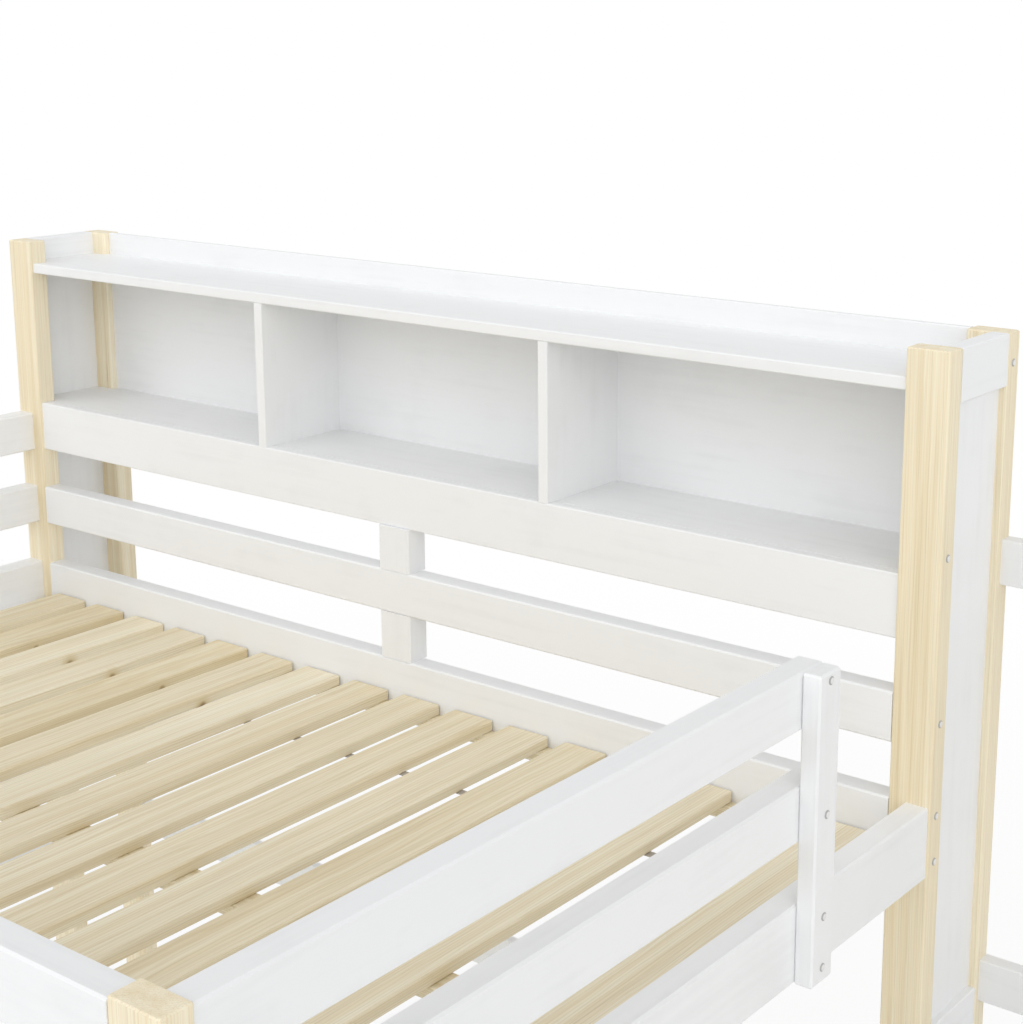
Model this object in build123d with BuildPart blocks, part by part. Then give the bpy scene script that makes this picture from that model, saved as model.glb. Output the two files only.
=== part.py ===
from build123d import *
from math import atan, cos, tan
import os

os.makedirs("parts", exist_ok=True)

# Sleeping place
mattress_length = 2000
mattress_width = 1400
mattress_play = 5
deck_height = 1248

# Posts and rails
post_width = 70
post_depth = 40
rail_thickness = 40
rail_inset = 3.5
post_rounding = 4
post_top_chamfer = 2
rail_easing = 3
board_easing = 2
tenon_length = 15
tenon_thickness = 12
tenon_shoulder = 12

# Heights of the rails, stacked upwards from the slats
bed_rail_rise = 62
bed_rail_height = 115
mid_rail_gap = 88
mid_rail_height = 80
guard_gap = 78
guard_height = 80
corner_post_rise = 4

# Bookcase, stacked upwards from the middle rail
bookcase_depth = 233
apron_gap = 82
apron_height = 100
apron_thickness = 22
front_inset = 6
cubby_height = 275
cubby_count = 3
shelf_thickness = 20
divider_thickness = 20
rim_height = 45
back_panel_thickness = 14
stile_width = 72
stile_thickness = 48

# Side frames of the bookcase
side_board_thickness = 30
side_board_height = 81
side_panel_thickness = 8
side_panel_inset = 12
side_panel_drop = 317
lower_board_height = 100
foot_board_height = 75
foot_board_rise = 90

# Lower rails under the bed
back_rail_thickness = 22
back_rail_height = 75
lower_rail_drop = 638
end_rail_height = 80

# Slats and what carries them
slat_width = 88
slat_thickness = 20
slat_gap = 36.6
slat_margin = 30
slat_end_play = 3
ledger_width = 25
ledger_height = 22
batten_width = 50
batten_thickness = 21
hanger_thickness = 2.5
hanger_seat = 40
hanger_tab = 30
hanger_play = 0.3
strap_width = 16
strap_thickness = 1.5
strap_offset = 234

# Way in beside the bookcase
entry_width = 331
short_post_width = 54
short_post_thickness = 28
short_bolt_drop = 12

# Stairs at the right end
stair_width = 400
step_count = 4
last_step = 408
tread_run = 240
tread_thickness = 24
tread_overlap = 20
tread_housing = 8
stringer_thickness = 22
stringer_width = 230
stringer_margin = 25
stringer_nose = 30
landing_board_count = 4
landing_board_gap = 8
beam_height = 120
stair_rail_thickness = 28
stair_rail_height = 72
stair_rail_gap = 63
handrail_height = 839
stair_post_rise = 21

# Bolts with round caps
bolt_radius = 3
bolt_play = 0.5
shank_sides = 8
bolt_grip = 45
cap_radius = 6
cap_height = 2.5
bed_bolt_rise = 23
bed_bolt_drop = 18
panel_bolt_drop = 47
spare_bolt_rise = 33
spare_bolt_length = 45

# Places along the length, centred with the caps that stand out at the left end
clear_length = mattress_length + 2 * mattress_play
bed_length = clear_length + 2 * post_width
total_length = bed_length + stair_width + post_width
x_left = (cap_height - total_length) / 2
x_left_in = x_left + post_width
x_right = x_left + bed_length
x_right_in = x_right - post_width
x_stair_post = x_right + stair_width
x_end = x_stair_post + post_width
x_middle = (x_left_in + x_right_in) / 2

# Places across the depth
clear_width = mattress_width + 2 * mattress_play
total_depth = post_depth + clear_width + bookcase_depth
y_near = -total_depth / 2
y_near_in = y_near + post_depth
y_far = y_near_in + clear_width
y_case = y_far + post_depth
y_back = y_far + bookcase_depth
y_back_post = y_back - post_depth
y_panel = y_back_post + (post_depth - back_panel_thickness) / 2
y_entry = y_far - entry_width
y_middle = (y_near_in + y_far) / 2

# Levels above the floor
slat_bottom = deck_height - slat_thickness
bed_rail_top = deck_height + bed_rail_rise
bed_rail_bottom = bed_rail_top - bed_rail_height
mid_rail_bottom = bed_rail_top + mid_rail_gap
mid_rail_top = mid_rail_bottom + mid_rail_height
guard_bottom = mid_rail_top + guard_gap
guard_top = guard_bottom + guard_height
apron_bottom = mid_rail_top + apron_gap
cubby_level = apron_bottom + apron_height
shelf_bottom = cubby_level + cubby_height
shelf_top = shelf_bottom + shelf_thickness
total_height = shelf_top + rim_height
lower_board_top = deck_height - side_panel_drop
lower_rail_level = deck_height - lower_rail_drop
landing_height = deck_height - last_step
beam_top = landing_height - tread_thickness
handrail_top = landing_height + handrail_height


def span(centre, size):
    """Low and high end of a size about its centre."""
    return (centre - size / 2, centre + size / 2)


def up(low, size):
    """Low and high end of a size above its low end."""
    return (low, low + size)


def down(high, size):
    """Low and high end of a size below its high end."""
    return (high - size, high)


def block(x, y, z, mode=Mode.ADD):
    """Adds or cuts a plain block between three pairs of places."""
    with Locations((x[0], y[0], z[0])):
        Box(x[1] - x[0], y[1] - y[0], z[1] - z[0], align=(Align.MIN,) * 3, mode=mode)


def save(piece, label):
    """Names a finished piece and writes it."""
    piece.part.label = label
    export_step(piece.part, f"parts/{label}.step")


# Spaces of the rails: along the length, across the depth, and in height
x_posts = {"left": (x_left, x_left_in), "right": (x_right_in, x_right)}
x_between = (x_left_in, x_right_in)
y_far_rail = up(y_far, rail_thickness)
y_near_rail = down(y_near_in, rail_thickness)
bed_z = (bed_rail_bottom, bed_rail_top)
mid_z = (mid_rail_bottom, mid_rail_top)
guard_z = (guard_bottom, guard_top)
end_lower_z = up(lower_rail_level, end_rail_height)
x_end_rail = {
    "left": up(x_left + rail_inset, rail_thickness),
    "right": down(x_right - rail_inset, rail_thickness),
}
y_across = (y_near_in, y_far)
y_to_entry = (y_near_in, y_entry)
y_stair_posts = {"front": up(y_entry, post_depth), "back": (y_back_post, y_back)}
stair_rail_z = {
    "lower": up(landing_height + stair_rail_gap, stair_rail_height),
    "upper": down(handrail_top, stair_rail_height),
}

# Rails tenoned into posts: space, direction and eased edge of each
rails = {
    "far_bed_rail": (x_between, y_far_rail, bed_z, Axis.X, rail_easing),
    "far_mid_rail": (x_between, y_far_rail, mid_z, Axis.X, rail_easing),
    "near_bed_rail": (x_between, y_near_rail, bed_z, Axis.X, rail_easing),
    "near_mid_rail": (x_between, y_near_rail, mid_z, Axis.X, rail_easing),
    "near_guard_rail": (x_between, y_near_rail, guard_z, Axis.X, rail_easing),
    "left_bed_rail": (x_end_rail["left"], y_across, bed_z, Axis.Y, rail_easing),
    "left_mid_rail": (x_end_rail["left"], y_across, mid_z, Axis.Y, rail_easing),
    "left_guard_rail": (x_end_rail["left"], y_across, guard_z, Axis.Y, rail_easing),
    "left_lower_rail": (x_end_rail["left"], y_across, end_lower_z, Axis.Y, rail_easing),
    "right_bed_rail": (x_end_rail["right"], y_across, bed_z, Axis.Y, rail_easing),
    "right_mid_rail": (x_end_rail["right"], y_to_entry, mid_z, Axis.Y, rail_easing),
    "right_guard_rail": (x_end_rail["right"], y_to_entry, guard_z, Axis.Y, rail_easing),
    "right_lower_rail": (x_end_rail["right"], y_across, end_lower_z, Axis.Y, rail_easing),
    "back_lower_rail": (
        x_between,
        down(y_back, back_rail_thickness),
        up(lower_rail_level, back_rail_height),
        Axis.X,
        board_easing,
    ),
    "cubby_apron": (
        x_between,
        up(y_far + front_inset, apron_thickness),
        up(apron_bottom, apron_height),
        Axis.X,
        board_easing,
    ),
}
for name, z in stair_rail_z.items():
    rails[f"stair_back_rail_{name}"] = (
        (x_right, x_stair_post),
        down(y_back, stair_rail_thickness),
        z,
        Axis.X,
        board_easing,
    )
    rails[f"stair_side_rail_{name}"] = (
        down(x_end, stair_rail_thickness),
        (y_stair_posts["front"][1], y_stair_posts["back"][0]),
        z,
        Axis.Y,
        board_easing,
    )

# Boards that join the front and the back post of each side of the bookcase
side_board_z = {
    "top": down(total_height, side_board_height),
    "lower": down(lower_board_top, lower_board_height),
    "foot": up(foot_board_rise, foot_board_height),
}
x_side_board = {
    "left": up(x_left, side_board_thickness),
    "right": down(x_right, side_board_thickness),
}
for side, x in x_side_board.items():
    for name, z in side_board_z.items():
        rails[f"side_{name}_board_{side}"] = (x, (y_case, y_back_post), z, Axis.Y, board_easing)


def tenons(x, y, z, along):
    """Spaces of the two tenons of a rail, which stand out from the middle of its ends."""
    tall = (z[0] + tenon_shoulder, z[1] - tenon_shoulder)
    if along == Axis.X:
        thick = span(sum(y) / 2, tenon_thickness)
        return [(end, thick, tall) for end in (down(x[0], tenon_length), up(x[1], tenon_length))]
    thick = span(sum(x) / 2, tenon_thickness)
    return [(thick, end, tall) for end in (down(y[0], tenon_length), up(y[1], tenon_length))]


def meet(first, second):
    """True where two spaces overlap."""
    return all(a[0] < b[1] and b[0] < a[1] for a, b in zip(first, second))


# Posts: the place and the top of each
posts = {
    "stair_post_front": ((x_stair_post, x_end), y_stair_posts["front"]),
    "stair_post_back": ((x_stair_post, x_end), y_stair_posts["back"]),
}
post_tops = dict.fromkeys(posts, handrail_top + stair_post_rise)
for side, x in x_posts.items():
    posts[f"bookcase_front_post_{side}"] = (x, (y_far, y_case))
    posts[f"bookcase_back_post_{side}"] = (x, (y_back_post, y_back))
    posts[f"corner_post_{side}"] = (x, (y_near, y_near_in))
    post_tops[f"bookcase_front_post_{side}"] = total_height
    post_tops[f"bookcase_back_post_{side}"] = total_height
    post_tops[f"corner_post_{side}"] = guard_top + corner_post_rise
post_spaces = {label: (*xy, (0, post_tops[label])) for label, xy in posts.items()}

# Bolts: where each cap sits, which way it faces, and the length under the cap
LEFT = (-1, 0, 0)
RIGHT = (1, 0, 0)
y_front_bolt = y_far + post_depth / 2
y_panel_bolt = y_panel + back_panel_thickness / 2
bed_bolt_levels = [bed_rail_bottom + bed_bolt_rise, bed_rail_top - bed_bolt_drop]
mid_bolt_level = (mid_rail_bottom + mid_rail_top) / 2
rail_bolt_levels = [mid_bolt_level] + bed_bolt_levels
through_post = post_width + bolt_grip

bolts = []
for x, way in ((x_left, LEFT), (x_right, RIGHT)):
    bolts += [((x, y_front_bolt, level), way, through_post) for level in rail_bolt_levels]
    spare = (x, y_front_bolt, cubby_level + spare_bolt_rise)
    panel = (x, y_panel_bolt, total_height - panel_bolt_drop)
    bolts += [(spare, way, spare_bolt_length), (panel, way, through_post)]

x_short = x_right - rail_inset + short_post_thickness
y_short = y_entry - short_post_width / 2
short_bolt_levels = [guard_top - short_bolt_drop] + rail_bolt_levels
short_bolt_length = short_post_thickness + rail_thickness / 2
bolts += [((x_short, y_short, level), RIGHT, short_bolt_length) for level in short_bolt_levels]


def drill(space):
    """Drills the part being built for every bolt that reaches its space."""
    bore = bolt_radius + bolt_play
    for point, way, length in bolts:
        x, y, z = point
        reach = sorted((x, x - way[0] * length))
        if meet(space, (reach, span(y, bore), span(z, bore))):
            with Locations(Plane(origin=point, z_dir=way)):
                Hole(bore, length)


# Posts, rounded along the sides, chamfered at the top and mortised for the rails
for label, space in post_spaces.items():
    with BuildPart() as post:
        block(*space)
        fillet(post.edges().filter_by(Axis.Z), post_rounding)
        chamfer(post.faces().sort_by(Axis.Z)[-1].edges(), post_top_chamfer)
        for x, y, z, along, _ in rails.values():
            for tenon in tenons(x, y, z, along):
                if meet(space, tenon):
                    block(*tenon, mode=Mode.SUBTRACT)
        drill(space)
    save(post, label)

# Rails, each with a tenon at every end that meets a post
for label, (x, y, z, along, easing) in rails.items():
    with BuildPart() as rail:
        block(x, y, z)
        chamfer(rail.edges().filter_by(along), easing)
        for tenon in tenons(x, y, z, along):
            if any(meet(space, tenon) for space in post_spaces.values()):
                block(*tenon)
        drill((x, y, z))
    save(rail, label)

# Short uprights in the middle of the bookcase side
x_stile = span(x_middle, stile_width)
for name, z in (
    ("upper", (mid_rail_top, apron_bottom)),
    ("lower", (bed_rail_top, mid_rail_bottom)),
):
    with BuildPart() as stile:
        block(x_stile, up(y_far, stile_thickness), z)
        chamfer(stile.edges().filter_by(Axis.Z), rail_easing)
    save(stile, f"centre_stile_{name}")

# Short post beside the way in, bolted to the outside of the end rails
short_space = (
    down(x_short, short_post_thickness),
    down(y_entry, short_post_width),
    (bed_rail_bottom, guard_top),
)
with BuildPart() as entry_short_post:
    block(*short_space)
    chamfer(entry_short_post.edges(), rail_easing)
    drill(short_space)
save(entry_short_post, "entry_short_post")


def cut_round_posts(z):
    """Cuts the board being built back round the four posts of the bookcase."""
    for x in x_posts.values():
        block(x, (y_far, y_case), z, mode=Mode.SUBTRACT)
        block(x, (y_back_post, y_back), z, mode=Mode.SUBTRACT)


# Floor of the cubbies, behind the apron and up to the side panels
floor_z = down(cubby_level, shelf_thickness)
y_apron_back = y_far + front_inset + apron_thickness
panel_face = side_panel_inset + side_panel_thickness
with BuildPart() as cubby_floor:
    block((x_left + panel_face, x_right - panel_face), (y_apron_back, y_panel), floor_z)
    cut_round_posts(floor_z)
save(cubby_floor, "cubby_floor")

# Top shelf, let in between the side boards and notched round the posts
shelf_z = (shelf_bottom, shelf_top)
y_front = y_far + front_inset
x_between_boards = (x_left + side_board_thickness, x_right - side_board_thickness)
with BuildPart() as top_shelf:
    block(x_between_boards, (y_front, y_panel), shelf_z)
    chamfer(top_shelf.edges().filter_by(Axis.X).group_by(Axis.Y)[0], board_easing)
    cut_round_posts(shelf_z)
save(top_shelf, "top_shelf")

# Back panel, which stands up behind the top shelf as a rim
panel_space = (x_between, up(y_panel, back_panel_thickness), (floor_z[0], total_height))
with BuildPart() as back_panel:
    block(*panel_space)
    chamfer(back_panel.edges().filter_by(Axis.X).group_by(Axis.Z)[-1], board_easing)
    drill(panel_space)
save(back_panel, "bookcase_back_panel")

# Dividers between the cubbies
cubby_width = (clear_length - (cubby_count - 1) * divider_thickness) / cubby_count
for index in range(1, cubby_count):
    x_divider = x_left_in + index * (cubby_width + divider_thickness)
    with BuildPart() as divider:
        block(down(x_divider, divider_thickness), (y_front, y_panel), (cubby_level, shelf_bottom))
        chamfer(divider.edges().filter_by(Axis.Z).group_by(Axis.Y)[0], board_easing)
    save(divider, f"cubby_divider_{index}")

# Thin panels in the side frames of the bookcase
side_panel_z = (lower_board_top, total_height - side_board_height)
for side, x in (
    ("left", up(x_left + side_panel_inset, side_panel_thickness)),
    ("right", down(x_right - side_panel_inset, side_panel_thickness)),
):
    with BuildPart() as side_panel:
        block(x, (y_case, y_back_post), side_panel_z)
    save(side_panel, f"side_panel_{side}")

# Ledgers along the long bed rails
ledger_z = down(slat_bottom, ledger_height)
x_inside = (x_end_rail["left"][1], x_end_rail["right"][0])
for name, y in (("far", down(y_far, ledger_width)), ("near", up(y_near_in, ledger_width))):
    with BuildPart() as ledger:
        block(x_inside, y, ledger_z)
        chamfer(ledger.edges().filter_by(Axis.X), board_easing)
    save(ledger, f"slat_ledger_{name}")

# Batten under the middle of the slats, seated in a steel hanger at each end
batten_y = span(y_middle, batten_width)
batten_z = down(slat_bottom, batten_thickness)
batten_end = hanger_thickness + hanger_play
with BuildPart() as centre_batten:
    block((x_inside[0] + batten_end, x_inside[1] - batten_end), batten_y, batten_z)
    chamfer(centre_batten.edges().filter_by(Axis.X), board_easing)
save(centre_batten, "centre_batten")

hanger_z = down(batten_z[0], hanger_thickness)
y_plate = span(y_middle, batten_width + 2 * hanger_tab)
for side, x_plate, x_seat in (
    ("left", up(x_inside[0], hanger_thickness), up(x_inside[0], hanger_seat)),
    ("right", down(x_inside[1], hanger_thickness), down(x_inside[1], hanger_seat)),
):
    with BuildPart() as hanger:
        block(x_plate, y_plate, (hanger_z[0], slat_bottom))
        block(x_seat, batten_y, hanger_z)
    save(hanger, f"batten_hanger_{side}")

# Slats across the bed, as many as fit between the margins
slat_pitch = slat_width + slat_gap
slat_room = clear_length - 2 * slat_margin
slat_count = round((slat_room + slat_gap) / slat_pitch)
slat_row = slat_count * slat_pitch - slat_gap
slat_y = (y_near_in + slat_end_play, y_far - slat_end_play)
with BuildPart() as bed_slats:
    for index in range(slat_count):
        x_slat = x_middle - slat_row / 2 + index * slat_pitch
        block(up(x_slat, slat_width), slat_y, (slat_bottom, deck_height))
    chamfer(bed_slats.edges().filter_by(Axis.Y), board_easing)
save(bed_slats, "bed_slats")

# Webbing under the slats, which keeps them apart
with BuildPart() as slat_straps:
    for y_strap in (y_far - strap_offset, y_near_in + strap_offset):
        strap_z = down(slat_bottom, strap_thickness)
        block(span(x_middle, slat_row), span(y_strap, strap_width), strap_z)
save(slat_straps, "slat_straps")

# Slope of the stairs, and the outline of a stringer cut plumb and level
slope = atan(landing_height / step_count / tread_run)
riser = landing_height / step_count
edge_rise = stringer_margin / cos(slope)
board_rise = stringer_width / cos(slope)
z_top_edge = landing_height + edge_rise
y_foot = y_entry - (step_count - 1) * tread_run - stringer_nose
stringer_outline = [
    (y_foot, 0),
    (y_entry - (z_top_edge - board_rise) / tan(slope), 0),
    (y_entry, z_top_edge - board_rise),
    (y_entry, landing_height),
    (y_entry - edge_rise / tan(slope), landing_height),
    (y_foot, z_top_edge - (y_entry - y_foot) * tan(slope)),
]

x_inner = up(x_right, stringer_thickness)
x_outer = down(x_stair_post, stringer_thickness)
x_tread = (x_inner[1] - tread_housing, x_outer[0] + tread_housing)
tread_spaces = []
for index in range(1, step_count):
    y_nose = y_entry - (step_count - index) * tread_run
    y_tread = up(y_nose, tread_run + tread_overlap)
    tread_spaces.append((x_tread, y_tread, down(index * riser, tread_thickness)))

# Stringers, housed for the ends of the treads
for name, x in (("inner", x_inner), ("outer", x_outer)):
    with BuildPart() as stringer:
        with BuildSketch(Plane.YZ.offset(x[0])):
            with BuildLine():
                Polyline(*stringer_outline, close=True)
            make_face()
        extrude(amount=stringer_thickness)
        for tread in tread_spaces:
            block(*tread, mode=Mode.SUBTRACT)
    save(stringer, f"stair_stringer_{name}")

with BuildPart() as stair_treads:
    for tread in tread_spaces:
        block(*tread)
    chamfer(stair_treads.edges().filter_by(Axis.X), board_easing)
save(stair_treads, "stair_treads")

# Landing: a beam along each side, one across each end, and boards on top
beam_z = down(beam_top, beam_height)
for name, x in (("inner", x_inner), ("outer", x_outer)):
    with BuildPart() as beam:
        block(x, (y_entry, y_back), beam_z)
    save(beam, f"landing_beam_{name}")

for name, y in (
    ("front", up(y_entry, stringer_thickness)),
    ("back", down(y_back, stringer_thickness)),
):
    with BuildPart() as cross_beam:
        block((x_inner[1], x_outer[0]), y, beam_z)
    save(cross_beam, f"landing_cross_beam_{name}")

landing_pitch = (y_back - y_entry + landing_board_gap) / landing_board_count
with BuildPart() as landing_boards:
    for index in range(landing_board_count):
        y = up(y_entry + index * landing_pitch, landing_pitch - landing_board_gap)
        block((x_right, x_stair_post), y, (beam_top, landing_height))
    chamfer(landing_boards.edges().filter_by(Axis.X), board_easing)
save(landing_boards, "landing_boards")

# Bolts, each with a round cap that sits on the face of its post, and a shank with few faces
with BuildPart() as connector_bolts:
    for point, way, length in bolts:
        face = Plane(origin=point, z_dir=way)
        with BuildSketch(face):
            Circle(cap_radius)
        extrude(amount=cap_height)
        with BuildSketch(face):
            RegularPolygon(bolt_radius, shank_sides)
        extrude(amount=-length)
save(connector_bolts, "connector_bolts")
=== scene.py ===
import math

import bmesh
import bpy
from mathutils import Matrix, Vector


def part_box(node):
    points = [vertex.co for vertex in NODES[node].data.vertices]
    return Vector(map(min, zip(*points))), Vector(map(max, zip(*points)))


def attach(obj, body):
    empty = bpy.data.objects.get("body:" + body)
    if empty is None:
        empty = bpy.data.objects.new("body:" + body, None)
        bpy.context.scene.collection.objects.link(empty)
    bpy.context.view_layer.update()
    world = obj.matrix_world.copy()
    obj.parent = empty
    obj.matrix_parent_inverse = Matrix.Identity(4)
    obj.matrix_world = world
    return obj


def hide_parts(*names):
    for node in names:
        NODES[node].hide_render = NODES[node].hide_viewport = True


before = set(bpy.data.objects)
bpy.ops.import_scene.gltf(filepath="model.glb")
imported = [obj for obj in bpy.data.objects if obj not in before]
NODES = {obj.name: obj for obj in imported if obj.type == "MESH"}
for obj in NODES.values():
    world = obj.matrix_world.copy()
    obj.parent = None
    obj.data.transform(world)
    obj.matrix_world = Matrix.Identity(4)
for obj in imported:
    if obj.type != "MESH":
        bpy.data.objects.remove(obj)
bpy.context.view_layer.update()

bl_info = {
    "name": "Loft bed",
    "version": (1, 0, 0),
    "blender": (4, 5, 0),
    "location": "3D View > Sidebar > Loft bed",
    "description": "Finishes, small fittings, light and camera for a wooden loft bed",
    "category": "Object",
}

MM = 0.001

# The pieces of each finish
UPRIGHT_POSTS = [
    f"{place}_post_{side}"
    for place in ("bookcase_front", "bookcase_back", "corner")
    for side in ("left", "right")
] + ["stair_post_front", "stair_post_back"]
PINE_ALONG = ["slat_ledger_far", "slat_ledger_near", "centre_batten"]
BRACKETS = ["batten_hanger_left", "batten_hanger_right"]
PAINTED = sorted(
    set(NODES)
    - set(UPRIGHT_POSTS + PINE_ALONG + BRACKETS)
    - {"bed_slats", "slat_straps", "connector_bolts"}
)

# Early wood and late wood of each group of pine pieces
POST_WOOD = ("#FAF2DA", "#F8ECD1")
LEDGER_WOOD = ("#F2EAD2", "#E8DBBA")
SLAT_WOOD = ("#F7F0DC", "#EFE5CB")

# Turn that lays the patterns' Z along the grain
GRAIN_TURN = {"X": (0, -math.pi / 2, 0), "Y": (math.pi / 2, 0, 0), "Z": (0, 0, 0)}

# The middle of the growth rings, off the axes so that no board shows it
PITH = (21 * MM, 47 * MM, 0)

# Size in mm of the bends in the growth rings, and how many rings a bend is high
BEND_SIZES = (110, 110, 900)
BEND_HEIGHT = 9.0

# Tones that darken the pine: fibres, streaks and clouds. Each has the size in mm of its patches
# across, across and along the grain, its detail, its roughness, the places and colours of its dark
# and its pale, and its share. Real fibres are 0.03 mm wide, too fine to show, and are drawn wider.
PINE_TONES = (
    ((1.6, 1.6, 200), 2.0, 0.6, (0.3, "#DCD5C8"), (0.52, "#FFFFFF"), 0.42),
    ((14, 14, 1100), 2.0, 0.5, (0.32, "#EDE2CB"), (0.6, "#FFFFFF"), 0.5),
    ((80, 80, 800), 1.0, 0.5, (0.3, "#EFEBE3"), (0.7, "#FFFFFF"), 0.7),
)

# Knots and resin flecks of the posts: size in mm of the cells, of which a few hold one, the chance
# above which a cell does, where its core ends and its halo ends in the cell, and its colour
PINE_FLECKS = (
    ((90, 90, 600), 0.94, 0.05, 0.14, "#B08A58"),
    ((14, 14, 250), 0.985, 0.05, 0.2, "#B98F55"),
)

SLAT_COUNT = 16
# How far the pattern moves across the grain from slat to slat, at most, in m
SLAT_PATTERN_STEP = 0.9
# Tints of the slats, from the darkest slat to the palest
SLAT_TINTS = ((0.0, "#F3EEE2"), (1.0, "#FFFFFF"))
# Slats up to this number, counted from 0 at the left, have a knot in their edge
KNOTTED_SLATS = 5.5
# Halo and core of that knot: inner and outer radius in mm, and colour
SLAT_KNOT = ((6, 26, "#DCCBA2"), (3, 11, "#A98D5F"))

MULTIPLY = {"data_type": "RGBA", "blend_type": "MULTIPLY"}

# A disc with a soft edge: 1 within its inner distance and 0 beyond its outer one
DISC = {"To Min": 1.0, "To Max": 0.0}
SOFT = {"interpolation_type": "SMOOTHSTEP"}

# Scale at which one wave of the wave texture is 1 m long
WAVE = math.pi / 10

# Places of the bolts: above and below the edges of the bed rail, above the cubby floor, and below
# the top of the bookcase posts and of the short post
BED_BOLT_RISE = 23 * MM
BED_BOLT_DROP = 18 * MM
SPARE_BOLT_RISE = 33 * MM
PANEL_BOLT_DROP = 47 * MM
SHORT_BOLT_DROP = 12 * MM

# Half of a cap's outline, as shares of its radius and height, from the middle of the dome
CAP_PROFILE = (
    (0.0, 1.0),
    (0.35, 0.97),
    (0.6, 0.86),
    (0.74, 0.7),
    (0.78, 0.46),
    (0.84, 0.4),
    (0.94, 0.4),
    (1.0, 0.28),
    (1.0, 0.0),
    (0.0, 0.0),
)
# Share of the radius from which a cap's faces, its groove and flange, take the darker grey: painted
# shade for the dark outline round each cap
SHADED_OUTLINE_START = 0.75

# Screws of the batten's brackets
PLATE_THICKNESS = 2.5 * MM
SCREW_INSET = 14 * MM
SCREW_RADIUS = 4 * MM
SCREW_TOP_RADIUS = 2.4 * MM
SCREW_HEIGHT = 1.6 * MM

# Half the side of the floor, and how far it lies below the feet
FLOOR_REACH = 30
FLOOR_DROP = 0.2 * MM
# Share of the floor's own light and shadow near the bed, and the distances between which it fades
FLOOR_SHADE = 0.14
FLOOR_NEAR = 2.2
FLOOR_FAR = 6.0

# The soft lights: property that holds the strength, angle of the source in degrees, and direction
LIGHTS = (
    ("key", 45, (0.25, 0.50, -0.30)),
    ("fill", 60, (-0.45, 0.45, -0.20)),
    ("side", 60, (-0.50, 0.05, -0.12)),
    ("top", 60, (0.0, 0.1, -1.0)),
)


class LoftBedFinish(bpy.types.PropertyGroup):
    """Colours and patterns of the timber, the paint and the fittings"""

    paint: bpy.props.FloatVectorProperty(
        name="White paint",
        description="Colour of the sprayed paint",
        subtype="COLOR_GAMMA",
        default=(0.942, 0.945, 0.948),
        min=0,
        max=1,
    )
    ring_width: bpy.props.FloatProperty(
        name="Growth ring",
        description="Width of a growth ring of the pine",
        unit="LENGTH",
        default=3.5 * MM,
    )
    slat_pitch: bpy.props.FloatProperty(
        name="Slat pitch",
        description="Distance from one slat to the next",
        unit="LENGTH",
        default=124.6 * MM,
    )
    knot_place: bpy.props.FloatProperty(
        name="Knot place",
        description="Where along their length the first slats have a knot in their right-hand edge",
        unit="LENGTH",
        default=0.39,
    )
    knot_spread: bpy.props.FloatProperty(
        name="Knot spread",
        description="How far that knot wanders from slat to slat",
        unit="LENGTH",
        default=20 * MM,
    )
    strap_width: bpy.props.FloatProperty(
        name="Strap width",
        description="Width of the webbing under the slats",
        unit="LENGTH",
        default=16 * MM,
    )
    cap_radius: bpy.props.FloatProperty(
        name="Cap radius",
        description="Radius of the round caps on the bolts",
        unit="LENGTH",
        default=6 * MM,
    )
    cap_height: bpy.props.FloatProperty(
        name="Cap height",
        description="How far a cap stands out from the timber",
        unit="LENGTH",
        default=2.5 * MM,
    )


class LoftBedStage(bpy.types.PropertyGroup):
    """Camera and light"""

    camera_place: bpy.props.FloatVectorProperty(
        name="Camera",
        description="Place of the camera",
        subtype="XYZ",
        unit="LENGTH",
        default=(1.972, -1.752, 2.468),
    )
    camera_yaw: bpy.props.FloatProperty(
        name="Yaw",
        description="Turn of the camera to the left of +Y",
        subtype="ANGLE",
        default=0.651,
    )
    camera_pitch: bpy.props.FloatProperty(
        name="Pitch",
        description="Tilt of the camera above the level",
        subtype="ANGLE",
        default=-0.2227,
    )
    lens: bpy.props.FloatProperty(
        name="Lens",
        description="Focal length on a 36 mm sensor",
        unit="CAMERA",
        default=65.2,
    )
    lens_shift: bpy.props.FloatVectorProperty(
        name="Lens shift",
        description="Shift of the lens to the right and up, as shares of the picture",
        size=2,
        default=(-0.06, -0.08),
    )
    sky_front: bpy.props.FloatProperty(
        name="Light from the front",
        description="Strength of the even light from the room in front of the bed",
        default=0.78,
    )
    sky_back: bpy.props.FloatProperty(
        name="Light from behind",
        description="Strength of the even light from behind the bookcase",
        default=0.38,
    )
    key: bpy.props.FloatProperty(
        name="Key light",
        description="Strength of the soft light from the front left",
        default=0.45,
    )
    fill: bpy.props.FloatProperty(
        name="Fill light",
        description="Strength of the soft light from the front right",
        default=0.66,
    )
    side: bpy.props.FloatProperty(
        name="Side light",
        description="Strength of the soft light from the right",
        default=0.40,
    )
    top: bpy.props.FloatProperty(
        name="Top light",
        description="Strength of the soft light from above",
        default=0.34,
    )


def linear(code):
    """Linear colour of an sRGB hex value."""
    values = [int(code[index : index + 2], 16) / 255 for index in (1, 3, 5)]
    return tuple(v / 12.92 if v <= 0.04045 else ((v + 0.055) / 1.055) ** 2.4 for v in values) + (1,)


def connect(tree, node, inputs):
    """Feeds each input of a node from a socket, or sets it to a value."""
    for name, value in inputs.items():
        if isinstance(value, bpy.types.NodeSocket):
            tree.links.new(value, node.inputs[name])
        else:
            node.inputs[name].default_value = value


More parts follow.
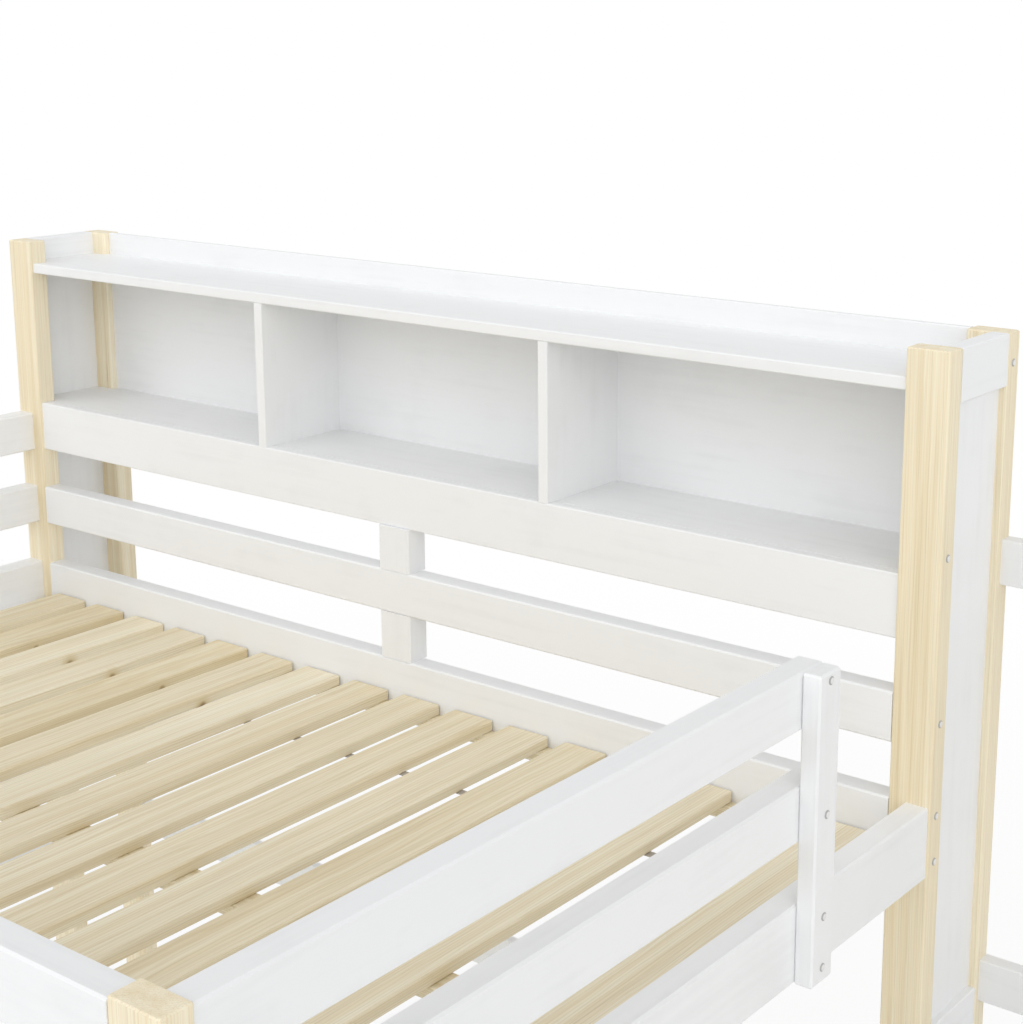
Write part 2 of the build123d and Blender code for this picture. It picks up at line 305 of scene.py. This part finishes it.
def add(tree, kind, inputs=None, stops=(), **settings):
    """Adds a node with its inputs, settings and stops (place, hex colour); gives its outputs."""
    node = tree.nodes.new("ShaderNode" + kind)
    for name, value in settings.items():
        setattr(node, name, value)
    connect(tree, node, inputs or {})
    if stops:
        elements = node.color_ramp.elements
        while len(elements) < len(stops):
            elements.new(0.5)
        for element, (place, code) in zip(elements, stops):
            element.position = place
            element.color = linear(code)
    return node.outputs


def finish(name):
    """A new material and its tree, shader and object coordinates."""
    material = bpy.data.materials.new(name)
    material.use_nodes = True
    tree = material.node_tree
    coordinates = add(tree, "TexCoord")["Object"]
    return material, tree, tree.nodes["Principled BSDF"], coordinates


def patches(tree, place, sizes, detail=2.0, roughness=0.5):
    """Uneven tone, whose patches have these sizes in mm along the three axes."""
    scale = [1 / (size * MM) for size in sizes]
    scaled = add(tree, "Mapping", {"Vector": place, "Scale": scale})[0]
    values = {"Vector": scaled, "Scale": 1.0, "Detail": detail, "Roughness": roughness}
    return add(tree, "TexNoise", values)["Fac"]


def flecks(tree, place, sizes, least, inner, outer):
    """Sparse spots: 1 in the middle of a few cells of these sizes in mm, and 0 elsewhere."""
    scale = [1 / (size * MM) for size in sizes]
    scaled = add(tree, "Mapping", {"Vector": place, "Scale": scale})[0]
    cells = add(tree, "TexVoronoi", {"Vector": scaled, "Scale": 1.0, "Randomness": 0.9})
    chance = add(tree, "SeparateXYZ", {0: cells["Color"]})[0]
    chosen = add(tree, "Math", {0: chance, 1: least}, operation="GREATER_THAN")[0]
    values = {"Value": cells["Distance"], "From Min": inner, "From Max": outer, **DISC}
    disc = add(tree, "MapRange", values, **SOFT)[0]
    return add(tree, "Math", {0: disc, 1: chosen}, operation="MULTIPLY")[0]


def growth_rings(tree, place, wood):
    """Wavy growth rings round the pith: pale early wood and thin, darker late wood."""
    early, late = wood
    look = bpy.context.scene.loft_bed_finish
    bends = patches(tree, place, BEND_SIZES, detail=4.0, roughness=0.62)
    across = add(tree, "Mapping", {"Vector": place, "Scale": (1, 1, 0)})[0]
    radius = add(tree, "VectorMath", {0: across}, operation="LENGTH")["Value"]
    rings = add(tree, "Math", {0: radius, 1: look.ring_width}, operation="DIVIDE")[0]
    values = {0: bends, 1: BEND_HEIGHT, 2: rings}
    rings = add(tree, "Math", values, operation="MULTIPLY_ADD")[0]
    ring = add(tree, "Math", {0: rings}, operation="FRACT")[0]
    stops = ((0.0, late), (0.3, early), (0.6, early), (0.95, late))
    return add(tree, "ValToRGB", {"Fac": ring}, stops)[0]


class SlatPlaces:
    """Nodes that tell the slats apart, so that each has its own grain, tint and knot."""

    def __init__(self, tree, coordinates):
        look = bpy.context.scene.loft_bed_finish
        pitch = look.slat_pitch
        self.tree = tree
        self.low, self.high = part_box("bed_slats")
        x, y, z = add(tree, "SeparateXYZ", {0: coordinates})
        row = add(tree, "Math", {0: x, 1: self.low.x}, operation="SUBTRACT")[0]
        count = add(tree, "Math", {0: row, 1: pitch}, operation="DIVIDE")[0]
        self.count = add(tree, "Math", {0: count}, operation="FLOOR")[0]
        self.chance = add(tree, "TexWhiteNoise", {"W": self.count}, noise_dimensions="1D")["Value"]
        start = add(tree, "Math", {0: row, 1: pitch, 2: 0.0}, operation="WRAP")[0]
        values = {0: self.chance, 1: look.knot_spread, 2: y}
        moved = add(tree, "Math", values, operation="MULTIPLY_ADD")[0]
        values = {0: self.chance, 1: SLAT_PATTERN_STEP, 2: start}
        depth = add(tree, "Math", values, operation="MULTIPLY_ADD")[0]
        self.on_slat = add(tree, "CombineXYZ", {0: start, 1: moved, 2: z})[0]
        self.in_pattern = add(tree, "CombineXYZ", {0: depth, 1: moved, 2: z})[0]

    def tint_and_knot(self, wood):
        """Tints each slat a little, and gives the first ones a knot in their right-hand edge."""
        look = bpy.context.scene.loft_bed_finish
        tree = self.tree
        tint = add(tree, "ValToRGB", {"Fac": self.chance}, SLAT_TINTS)[0]
        wood = add(tree, "Mix", {0: 1.0, 6: wood, 7: tint}, **MULTIPLY)[2]
        width = self.high.x - self.low.x - look.slat_pitch * (SLAT_COUNT - 1)
        knot = Vector((width, look.knot_place, self.low.z))
        from_knot = add(tree, "Mapping", {"Vector": self.on_slat, "Location": -knot})[0]
        distance = add(tree, "VectorMath", {0: from_knot}, operation="LENGTH")["Value"]
        values = {0: self.count, 1: KNOTTED_SLATS}
        knotted = add(tree, "Math", values, operation="LESS_THAN")[0]
        for inner, outer, code in SLAT_KNOT:
            values = {"Value": distance, "From Min": inner * MM, "From Max": outer * MM, **DISC}
            disc = add(tree, "MapRange", values, **SOFT)[0]
            share = add(tree, "Math", {0: disc, 1: knotted}, operation="MULTIPLY")[0]
            wood = add(tree, "Mix", {0: share, 6: wood, 7: linear(code)}, data_type="RGBA")[2]
        return wood


def pine(name, grain, wood, slats=False):
    """Pine, planed and lacquered matt: pale, with faint rings and streaks, and a soft sheen."""
    material, tree, shader, coordinates = finish(name)
    if slats:
        slat_places = SlatPlaces(tree, coordinates)
        coordinates = slat_places.in_pattern
    values = {"Vector": coordinates, "Rotation": GRAIN_TURN[grain], "Location": PITH}
    place = add(tree, "Mapping", values)[0]

    colour = growth_rings(tree, place, wood)
    tones = [patches(tree, place, *tone[:3]) for tone in PINE_TONES]
    for tone, (_, _, _, dark, pale, share) in zip(tones, PINE_TONES):
        shade = add(tree, "ValToRGB", {"Fac": tone}, (dark, pale))[0]
        colour = add(tree, "Mix", {0: share, 6: colour, 7: shade}, **MULTIPLY)[2]
    if slats:
        colour = slat_places.tint_and_knot(colour)
    else:
        for *spot, code in PINE_FLECKS:
            share = flecks(tree, place, *spot)
            colour = add(tree, "Mix", {0: share, 6: colour, 7: linear(code)}, data_type="RGBA")[2]

    fibres = tones[0]
    rough = add(tree, "MapRange", {"Value": fibres, "To Min": 0.42, "To Max": 0.6})[0]
    values = {"Height": fibres, "Strength": 0.12, "Distance": 0.1 * MM}
    bump = add(tree, "Bump", values)[0]
    values = {"Base Color": colour, "Roughness": rough, "IOR": 1.5, "Normal": bump}
    connect(tree, shader, values)
    return material


def white_paint(name, grain):
    """Water-based white paint, sprayed on planed softwood: the grain hardly shows through."""
    look = bpy.context.scene.loft_bed_finish
    material, tree, shader, coordinates = finish(name)
    sizes = {"X": (330, 14, 14), "Y": (14, 330, 14), "Z": (14, 14, 330)}[grain]
    lines = patches(tree, coordinates, sizes, detail=4.0, roughness=0.55)
    mist = patches(tree, coordinates, (110, 110, 110), detail=3.0, roughness=0.6)
    both = add(tree, "Math", {0: lines, 1: mist}, operation="ADD")[0]
    # Where the coat is thin, the paint is slightly darker
    full, thin = (
        "#" + "".join(f"{round(value * top):02X}" for value in look.paint) for top in (255, 251)
    )
    colour = add(tree, "ValToRGB", {"Fac": both}, ((0.7, thin), (1.0, full)))[0]
    rough = add(tree, "MapRange", {"Value": mist, "To Min": 0.4, "To Max": 0.54})[0]
    # The spray's skin is finer than it can show, and is drawn 2.4 mm wide
    skin = patches(tree, coordinates, (2.4, 2.4, 2.4), detail=1.0)
    height = add(tree, "Math", {0: skin, 1: 0.25, 2: lines}, operation="MULTIPLY_ADD")[0]
    bump = add(tree, "Bump", {"Height": height, "Strength": 0.06, "Distance": 0.15 * MM})[0]
    values = {"Base Color": colour, "Roughness": rough, "IOR": 1.5, "Normal": bump}
    connect(tree, shader, values)
    return material


def zinc_plated_steel():
    """Sheet steel, pressed and zinc plated: blue-grey, with cloudy spangle 4 mm wide."""
    material, tree, shader, coordinates = finish("zinc_plated_pressed_steel")
    spangle = add(tree, "TexVoronoi", {"Vector": coordinates, "Scale": 1 / (4 * MM)})
    grey = add(tree, "SeparateXYZ", {0: spangle["Color"]})[0]
    colour = add(tree, "ValToRGB", {"Fac": grey}, ((0.0, "#9CA0A3"), (1.0, "#B4B8BA")))[0]
    rough = add(tree, "MapRange", {"Value": grey, "To Min": 0.32, "To Max": 0.45})[0]
    connect(tree, shader, {"Base Color": colour, "Roughness": rough, "Metallic": 1.0})
    return material


def moulded_nylon(name, dark, light):
    """Nylon, moulded: a soft sheen and a faint cloud, 1.1 mm wide, in its colour and roughness."""
    material, tree, shader, coordinates = finish(name)
    values = {"Vector": coordinates, "Scale": 1 / (1.1 * MM), "Detail": 2.0}
    cloud = add(tree, "TexNoise", values)["Fac"]
    colour = add(tree, "ValToRGB", {"Fac": cloud}, ((0.3, dark), (0.7, light)))[0]
    rough = add(tree, "MapRange", {"Value": cloud, "To Min": 0.28, "To Max": 0.36})[0]
    connect(tree, shader, {"Base Color": colour, "Roughness": rough, "IOR": 1.53})
    return material


def webbing():
    """Polyester band, woven plain: grey-beige, with ribs of 1.5 mm along it and picks of 1.2 mm."""
    material, tree, shader, coordinates = finish("polyester_woven_band")
    ribs, picks = (
        add(
            tree,
            "TexWave",
            {"Vector": coordinates, "Scale": WAVE / (size * MM), "Distortion": 0.4},
            bands_direction=way,
        )["Fac"]
        for size, way in ((1.5, "Y"), (1.2, "X"))
    )
    weave = add(tree, "Math", {0: ribs, 1: picks}, operation="MULTIPLY")[0]
    colour = add(tree, "ValToRGB", {"Fac": weave}, ((0.0, "#A79F94"), (0.6, "#C9C2B8")))[0]
    bump = add(tree, "Bump", {"Height": weave, "Strength": 0.4, "Distance": 0.3 * MM})[0]
    values = {"Base Color": colour, "Roughness": 0.85, "Sheen Weight": 0.15, "Normal": bump}
    connect(tree, shader, values)
    return material


def cover(node, material):
    """Gives a piece of the frame one material."""
    mesh = NODES[node].data
    mesh.materials.clear()
    mesh.materials.append(material)


def piece(name, mesh_builder, material, replaced=()):
    """Makes a new piece of a bmesh, which rides on the bed."""
    mesh = bpy.data.meshes.new(name)
    mesh_builder.to_mesh(mesh)
    mesh_builder.free()
    made = bpy.data.objects.new(name, mesh)
    bpy.context.scene.collection.objects.link(made)
    mesh.materials.append(material)
    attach(made, "root")
    if replaced:
        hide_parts(*replaced)
    return made


def longest_way(node):
    """Letter of the longest side of a piece's box."""
    low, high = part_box(node)
    sides = high - low
    return "XYZ"[max(range(3), key=lambda axis: sides[axis])]


class LOFTBED_OT_painted_boards(bpy.types.Operator):
    """Paints the rails, boards, shelves and stairs white"""

    bl_idname = "loft_bed.painted_boards"
    bl_label = "Painted boards"

    def execute(self, context):
        paints = {way: white_paint(f"paint_white_sprayed_{way}", way) for way in "XYZ"}
        for node in PAINTED:
            cover(node, paints[longest_way(node)])
        return {"FINISHED"}


class LOFTBED_OT_pine_timber(bpy.types.Operator):
    """Gives the posts, slats, ledgers and batten their lacquered pine"""

    bl_idname = "loft_bed.pine_timber"
    bl_label = "Pine timber"

    def execute(self, context):
        upright = pine("pine_planed_lacquered_upright", "Z", POST_WOOD)
        for node in UPRIGHT_POSTS:
            cover(node, upright)
        along = pine("pine_planed_lacquered_along", "X", LEDGER_WOOD)
        for node in PINE_ALONG:
            cover(node, along)
        cover("bed_slats", pine("pine_planed_lacquered_slats", "Y", SLAT_WOOD, slats=True))
        return {"FINISHED"}


class LOFTBED_OT_slat_straps(bpy.types.Operator):
    """Weaves the two straps that keep the slats apart"""

    bl_idname = "loft_bed.slat_straps"
    bl_label = "Slat straps"

    def execute(self, context):
        look = context.scene.loft_bed_finish
        low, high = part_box("slat_straps")
        half = look.strap_width / 2
        band = webbing()
        for name, y in (("far", high.y - half), ("near", low.y + half)):
            mesh = bmesh.new()
            bmesh.ops.create_cube(mesh, size=1)
            size = Vector((high.x - low.x, look.strap_width, high.z - low.z))
            bmesh.ops.scale(mesh, vec=size, verts=mesh.verts)
            centre = Vector(((low.x + high.x) / 2, y, (low.z + high.z) / 2))
            bmesh.ops.translate(mesh, vec=centre, verts=mesh.verts)
            bmesh.ops.bevel(
                mesh,
                geom=mesh.edges[:],
                offset=0.4 * MM,
                segments=2,
                profile=0.5,
                material=-1,
                affect="EDGES",
            )
            strap = piece(f"slat_strap_{name}", mesh, band, ["slat_straps"])
        return {"FINISHED"}


class LOFTBED_OT_bolt_caps(bpy.types.Operator):
    """Turns the domed caps on the bolts"""

    bl_idname = "loft_bed.bolt_caps"
    bl_label = "Bolt caps"

    def execute(self, context):
        look = context.scene.loft_bed_finish
        mesh = bmesh.new()
        for place, way in cap_places():
            profile = [
                mesh.verts.new((radius * look.cap_radius, 0, height * look.cap_height))
                for radius, height in CAP_PROFILE
            ]
            edges = [mesh.edges.new(pair) for pair in zip(profile, profile[1:])]
            bmesh.ops.spin(
                mesh,
                geom=profile + edges,
                cent=(0, 0, 0),
                axis=(0, 0, 1),
                angle=2 * math.pi,
                steps=24,
                use_merge=True,
                use_duplicate=False,
            )
            # A tag marks the faces and points of the caps that are done
            for face in mesh.faces:
                if not face.tag:
                    across = face.calc_center_median().to_2d().length
                    # The groove and flange take the second, darker grey material: painted shade for
                    # the dark outline round the cap
                    face.material_index = int(across > SHADED_OUTLINE_START * look.cap_radius)
                    face.tag = True
            made = [vertex for vertex in mesh.verts if not vertex.tag]
            turn = Matrix.Rotation(way * math.pi / 2, 4, "Y")
            bmesh.ops.transform(mesh, matrix=Matrix.Translation(place) @ turn, verts=made)
            for vertex in made:
                vertex.tag = True
        bmesh.ops.remove_doubles(mesh, verts=mesh.verts, dist=1e-6)
        bmesh.ops.recalc_face_normals(mesh, faces=mesh.faces)
        for face in mesh.faces:
            face.smooth = True
        dome = moulded_nylon("nylon_moulded_pale_grey", "#E2E1E1", "#EBEAEA")
        caps = piece("bolt_caps", mesh, dome, ["connector_bolts"])
        # The darker grey is painted shade, standing in for the shadow in the gap round each cap
        caps.data.materials.append(moulded_nylon("nylon_moulded_grey", "#ACABAA", "#B9B8B7"))
        return {"FINISHED"}


def cap_places():
    """Middle of each cap on its face, and 1 where it faces +X or -1 where it faces -X."""
    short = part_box("entry_short_post")
    left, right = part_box("bookcase_front_post_left"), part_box("bookcase_front_post_right")
    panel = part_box("bookcase_back_panel")
    y_front, y_panel, y_short = ((low.y + high.y) / 2 for low, high in (left, panel, short))
    bed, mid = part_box("far_bed_rail"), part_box("far_mid_rail")
    levels = [(mid[0].z + mid[1].z) / 2, bed[0].z + BED_BOLT_RISE, bed[1].z - BED_BOLT_DROP]
    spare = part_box("cubby_floor")[1].z + SPARE_BOLT_RISE
    top = left[1].z - PANEL_BOLT_DROP
    places = []
    for x, way in ((left[0].x, -1), (right[1].x, 1)):
        places += [((x, y_front, z), way) for z in levels + [spare]]
        places.append(((x, y_panel, top), way))
    short_levels = levels + [short[1].z - SHORT_BOLT_DROP]
    places += [((short[1].x, y_short, z), 1) for z in short_levels]
    return [(Vector(place), way) for place, way in places]


class LOFTBED_OT_batten_brackets(bpy.types.Operator):
    """Plates the brackets of the batten and drives their screws"""

    bl_idname = "loft_bed.batten_brackets"
    bl_label = "Batten brackets"

    def execute(self, context):
        steel = zinc_plated_steel()
        mesh = bmesh.new()
        for side, (node, way) in enumerate(zip(BRACKETS, (1, -1))):
            cover(node, steel)
            low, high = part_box(node)
            plate = (low.x, high.x)[side] + way * PLATE_THICKNESS
            for y in (low.y + SCREW_INSET, high.y - SCREW_INSET):
                cone = bmesh.ops.create_cone(
                    mesh,
                    cap_ends=True,
                    segments=16,
                    radius1=SCREW_RADIUS,
                    radius2=SCREW_TOP_RADIUS,
                    depth=SCREW_HEIGHT,
                )
                turn = Matrix.Rotation(way * math.pi / 2, 4, "Y")
                place = Vector((plate + way * SCREW_HEIGHT / 2, y, (low.z + high.z) / 2))
                bmesh.ops.transform(
                    mesh, matrix=Matrix.Translation(place) @ turn, verts=cone["verts"]
                )
        piece("bracket_screws", mesh, steel)
        return {"FINISHED"}


class LOFTBED_OT_stage(bpy.types.Operator):
    """Lays the floor, lights it and sets the camera"""

    bl_idname = "loft_bed.stage"
    bl_label = "Stage"

    def execute(self, context):
        scene = context.scene
        stage = scene.loft_bed_stage
        mesh = bmesh.new()
        bmesh.ops.create_grid(mesh, x_segments=1, y_segments=1, size=FLOOR_REACH)
        floor_mesh = bpy.data.meshes.new("floor")
        mesh.to_mesh(floor_mesh)
        mesh.free()
        floor = bpy.data.objects.new("floor", floor_mesh)
        scene.collection.objects.link(floor)
        floor.location.z = -FLOOR_DROP
        floor_mesh.materials.append(studio_floor())

        light_room(scene, stage)
        for name, angle, way in LIGHTS:
            light = bpy.data.lights.new(f"{name}_light", "SUN")
            light.energy = getattr(stage, name)
            light.angle = math.radians(angle)
            lamp = bpy.data.objects.new(f"{name}_light", light)
            lamp.rotation_euler = Vector(way).to_track_quat("-Z", "Y").to_euler()
            scene.collection.objects.link(lamp)

        lens = bpy.data.cameras.new("camera")
        lens.sensor_width = 36
        lens.lens = stage.lens
        lens.shift_x, lens.shift_y = stage.lens_shift
        lens.clip_end = 200
        camera = bpy.data.objects.new("camera", lens)
        camera.location = stage.camera_place
        yaw, pitch = stage.camera_yaw, stage.camera_pitch
        look = Vector(
            (-math.sin(yaw) * math.cos(pitch), math.cos(yaw) * math.cos(pitch), math.sin(pitch))
        )
        camera.rotation_euler = look.to_track_quat("-Z", "Y").to_euler()
        scene.collection.objects.link(camera)
        scene.camera = camera
        scene.view_settings.view_transform = "Standard"
        return {"FINISHED"}


def light_room(scene, stage):
    """A white background that lights the front of the bed more than its back."""
    world = bpy.data.worlds.new("studio")
    scene.world = world
    world.use_nodes = True
    tree = world.node_tree
    way = add(tree, "TexCoord")["Generated"]
    behind = add(tree, "SeparateXYZ", {0: way})[1]
    values = {
        "Value": behind,
        "From Min": -0.7,
        "To Min": stage.sky_front,
        "To Max": stage.sky_back,
    }
    room = add(tree, "MapRange", values)[0]
    values = {0: seen_directly(tree), 2: room, 3: 1.0}
    level = add(tree, "Mix", values, data_type="FLOAT")[0]
    connect(tree, tree.nodes["Background"], {"Color": linear("#FFFFFF"), "Strength": level})


def seen_directly(tree):
    """1 where the camera, a reflection or a view through glass sees the surface, else 0."""
    rays = add(tree, "LightPath")
    seen = rays["Is Camera Ray"]
    for name in ("Is Glossy Ray", "Is Transmission Ray"):
        seen = add(tree, "Math", {0: seen, 1: rays[name]}, operation="MAXIMUM")[0]
    return seen


def studio_floor():
    """Matt white board: seen almost as bright as the background, with a faint shadow."""
    material, tree, shader, coordinates = finish("studio_floor_matt_board")
    values = {"Vector": coordinates, "Scale": 1 / (330 * MM), "Detail": 4.0}
    cloud = add(tree, "TexNoise", values)["Fac"]
    colour = add(tree, "ValToRGB", {"Fac": cloud}, ((0.0, "#F4F4F3"), (1.0, "#F8F8F7")))[0]
    connect(tree, shader, {"Base Color": colour, "Roughness": 0.9, "Specular IOR Level": 0.1})
    distance = add(tree, "VectorMath", {0: coordinates}, operation="LENGTH")["Value"]
    values = {"Value": distance, "From Min": FLOOR_NEAR, "From Max": FLOOR_FAR, **DISC}
    near = add(tree, "MapRange", values, **SOFT)[0]
    values = {0: near, 1: -FLOOR_SHADE, 2: 1.0}
    white = add(tree, "Math", values, operation="MULTIPLY_ADD")[0]
    share = add(tree, "Math", {0: seen_directly(tree), 1: white}, operation="MULTIPLY")[0]
    glow = add(tree, "Emission", {"Color": linear("#FFFFFF"), "Strength": 1.0})[0]
    mixed = add(tree, "MixShader", {0: share, 1: shader.outputs[0], 2: glow})[0]
    connect(tree, tree.nodes["Material Output"], {"Surface": mixed})
    return material


class LOFTBED_PT_panel(bpy.types.Panel):
    """Lists the steps and their values"""

    bl_idname = "LOFTBED_PT_panel"
    bl_label = "Loft bed"
    bl_space_type = "VIEW_3D"
    bl_region_type = "UI"
    bl_category = "Loft bed"

    def draw(self, context):
        for group in (context.scene.loft_bed_finish, context.scene.loft_bed_stage):
            box = self.layout.box()
            for name in group.bl_rna.properties.keys():
                if name not in ("rna_type", "name"):
                    box.prop(group, name)
        for operator in OPERATORS:
            self.layout.operator(operator.bl_idname)


OPERATORS = (
    LOFTBED_OT_painted_boards,
    LOFTBED_OT_pine_timber,
    LOFTBED_OT_slat_straps,
    LOFTBED_OT_bolt_caps,
    LOFTBED_OT_batten_brackets,
    LOFTBED_OT_stage,
)
CLASSES = (LoftBedFinish, LoftBedStage, *OPERATORS, LOFTBED_PT_panel)


def register():
    for made in CLASSES:
        bpy.utils.register_class(made)
    bpy.types.Scene.loft_bed_finish = bpy.props.PointerProperty(type=LoftBedFinish)
    bpy.types.Scene.loft_bed_stage = bpy.props.PointerProperty(type=LoftBedStage)


def unregister():
    del bpy.types.Scene.loft_bed_stage
    del bpy.types.Scene.loft_bed_finish
    for made in reversed(CLASSES):
        bpy.utils.unregister_class(made)


def main():
    register()
    bpy.ops.loft_bed.painted_boards()
    bpy.ops.loft_bed.pine_timber()
    bpy.ops.loft_bed.slat_straps()
    bpy.ops.loft_bed.bolt_caps()
    bpy.ops.loft_bed.batten_brackets()
    bpy.ops.loft_bed.stage()


if __name__ == "__main__":
    main()
